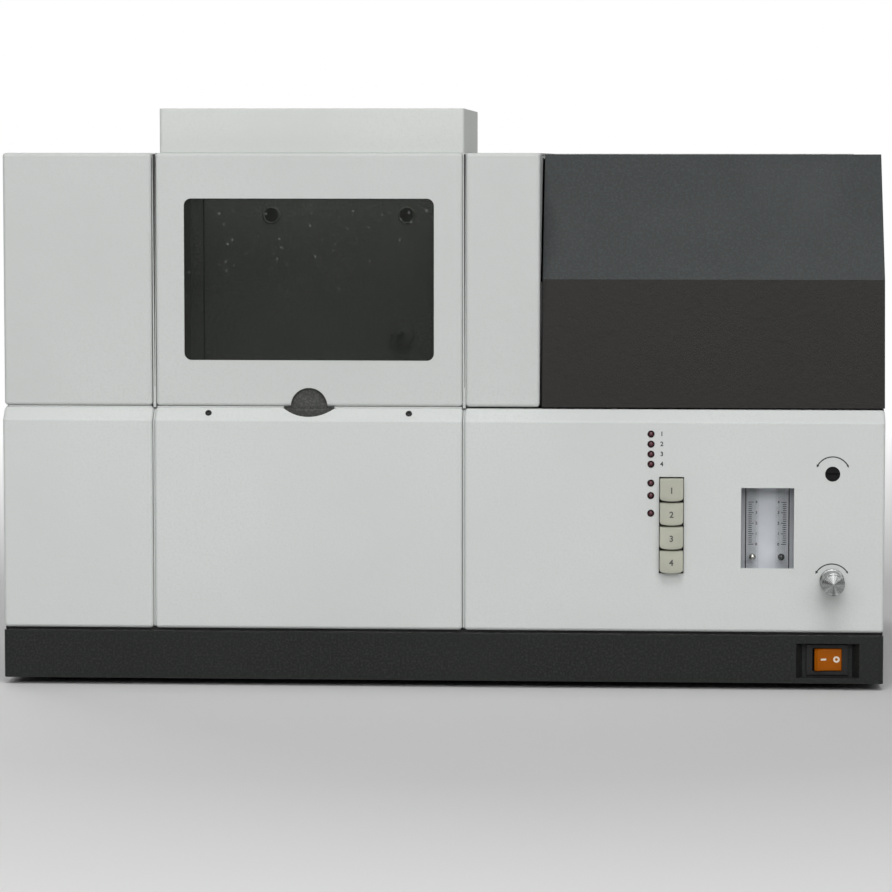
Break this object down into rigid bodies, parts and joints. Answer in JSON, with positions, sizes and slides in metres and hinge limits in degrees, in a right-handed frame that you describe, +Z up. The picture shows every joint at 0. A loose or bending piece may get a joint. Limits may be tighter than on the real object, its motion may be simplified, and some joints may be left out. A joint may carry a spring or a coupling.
{
  "type": "atomic absorption spectrometer",
  "caption": "Bench flame spectrometer with a lamp bay, a windowed burner door under a chimney, a dark optics cover, gas controls with float tubes, and a power rocker in its base.",
  "frame": {"origin": "middle of the footprint, on the bench under the feet", "axes": "+X to the right seen from the front, +Y to the back, +Z up"},
  "size_m": [0.739, 0.562, 0.485],
  "materials": {
    "pale_paint": "fine texture powder coat",
    "dark_paint": "fine texture powder coat",
    "liner_paint": "matt",
    "foot_rubber": "matt",
    "zinc_steel": "satin",
    "aluminium": "satin",
    "black_plastic": "matt",
    "tinted_glass": "polished",
    "clear_glass": "polished",
    "clear_acrylic": "polished",
    "mirror_glass": "polished",
    "valve_brass": "satin",
    "board_green": "satin",
    "key_cream": "satin",
    "lamp_red": "gloss",
    "amber": "gloss",
    "scale_white": "satin",
    "float_steel": "polished",
    "float_black": "gloss"
  },
  "bodies": {
    "cabinet": {"base_tray": "dark_paint", "chassis_deck": "zinc_steel", "rubber_feet": "foot_rubber", "left_side_panel": "pale_paint", "right_side_panel": "pale_paint", "rear_panel": "pale_paint", "lamp_top_cover": "pale_paint", "burner_top_cover": "pale_paint", "chimney": "pale_paint", "mono_cover": "dark_paint", "column_cover": "pale_paint", "lower_left_panel": "pale_paint", "lower_centre_panel": "pale_paint", "control_panel": "pale_paint", "cover_screws": "black_plastic", "bulkheads": "pale_paint", "chamber_liner": "liner_paint", "hinge_pins": "zinc_steel", "turret_bracket": "zinc_steel", "fold_mirror": "aluminium", "beam_lenses": "clear_glass", "stage_post": "zinc_steel", "igniter": "zinc_steel", "optical_bench": "aluminium", "slit_plates": "black_plastic", "mono_mirrors": "mirror_glass", "grating_motor": "black_plastic", "detector_housing": "black_plastic", "power_transformer": "zinc_steel", "main_board": "board_green", "gas_manifold": "aluminium", "valve_bodies": "valve_brass", "flow_tubes": "clear_acrylic", "flow_frame": "scale_white", "indicator_lamps": "lamp_red", "key_frame": "black_plastic", "switch_body": "black_plastic", "mains_inlet": "black_plastic", "gas_inlets": "zinc_steel", "fan_frame": "black_plastic"},
    "burner_door": {"burner_door": "pale_paint", "door_window": "tinted_glass"},
    "lamp_door": {"lamp_door": "pale_paint"},
    "lamp_turret": {"lamp_turret": "black_plastic", "hollow_cathode_lamps": "clear_glass"},
    "burner_unit": {"burner_stage": "aluminium", "spray_chamber": "black_plastic", "nebulizer": "zinc_steel", "burner_head": "aluminium"},
    "grating_table": {"grating_table": "zinc_steel"},
    "fan_rotor": {"fan_rotor": "black_plastic"},
    "fuel_knob": {"fuel_knob": "aluminium"},
    "oxidant_adjuster": {"oxidant_adjuster": "black_plastic"},
    "fuel_float": {"fuel_float": "float_steel"},
    "air_float": {"air_float": "float_black"},
    "gas_select_key": {"gas_select_key": "key_cream"},
    "ignite_key": {"ignite_key": "key_cream"},
    "check_key": {"check_key": "key_cream"},
    "close_key": {"close_key": "key_cream"},
    "power_rocker": {"power_rocker": "amber"}
  },
  "joints": [
    {"name": "burner_door_hinge", "type": "hinge", "parent": "cabinet", "child": "burner_door", "pos_m": [-0.1116, -0.2295, 0.4435], "axis": [-1, 0, 0], "range_deg": [0, 90]},
    {"name": "lamp_door_hinge", "type": "hinge", "parent": "cabinet", "child": "lamp_door", "pos_m": [-0.364, -0.231, 0.3415], "axis": [0, 0, -1], "range_deg": [0, 100]},
    {"name": "lamp_turret_turn", "type": "hinge", "parent": "cabinet", "child": "lamp_turret", "pos_m": [-0.30505, 0, 0.3075], "axis": [0, -1, 0], "continuous": true},
    {"name": "burner_lift", "type": "slide", "parent": "cabinet", "child": "burner_unit", "axis": [0, 0, 1], "range_m": [-0.008, 0.008]},
    {"name": "grating_turn", "type": "hinge", "parent": "cabinet", "child": "grating_table", "pos_m": [0.1135, 0.005, 0.244], "axis": [0, 0, 1], "range_deg": [-10, 25]},
    {"name": "fan_spin", "type": "hinge", "parent": "cabinet", "child": "fan_rotor", "pos_m": [0.1995, 0.235, 0.146], "axis": [0, -1, 0], "continuous": true},
    {"name": "fuel_knob_turn", "type": "hinge", "parent": "cabinet", "child": "fuel_knob", "pos_m": [0.3261, -0.249, 0.0923], "axis": [0, -1, 0], "range_deg": [0, 1080]},
    {"name": "oxidant_adjuster_turn", "type": "hinge", "parent": "cabinet", "child": "oxidant_adjuster", "pos_m": [0.3261, -0.249, 0.1814], "axis": [0, -1, 0], "range_deg": [0, 1080]},
    {"name": "fuel_float_rise", "type": "slide", "parent": "cabinet", "child": "fuel_float", "axis": [0, 0, 1], "range_m": [0, 0.055]},
    {"name": "air_float_rise", "type": "slide", "parent": "cabinet", "child": "air_float", "axis": [0, 0, 1], "range_m": [0, 0.055]},
    {"name": "gas_select_key_press", "type": "slide", "parent": "cabinet", "child": "gas_select_key", "axis": [0, 1, 0], "range_m": [0, 0.0035], "stiffness_N_per_m": 300, "springref_m": -0.002},
    {"name": "ignite_key_press", "type": "slide", "parent": "cabinet", "child": "ignite_key", "axis": [0, 1, 0], "range_m": [0, 0.0035], "stiffness_N_per_m": 300, "springref_m": -0.002},
    {"name": "check_key_press", "type": "slide", "parent": "cabinet", "child": "check_key", "axis": [0, 1, 0], "range_m": [0, 0.0035], "stiffness_N_per_m": 300, "springref_m": -0.002},
    {"name": "close_key_press", "type": "slide", "parent": "cabinet", "child": "close_key", "axis": [0, 1, 0], "range_m": [0, 0.0035], "stiffness_N_per_m": 300, "springref_m": -0.002},
    {"name": "power_rocker_tilt", "type": "hinge", "parent": "cabinet", "child": "power_rocker", "pos_m": [0.3232, -0.241, 0.025], "axis": [0, 0, -1], "range_deg": [0, 16]}
  ]
}
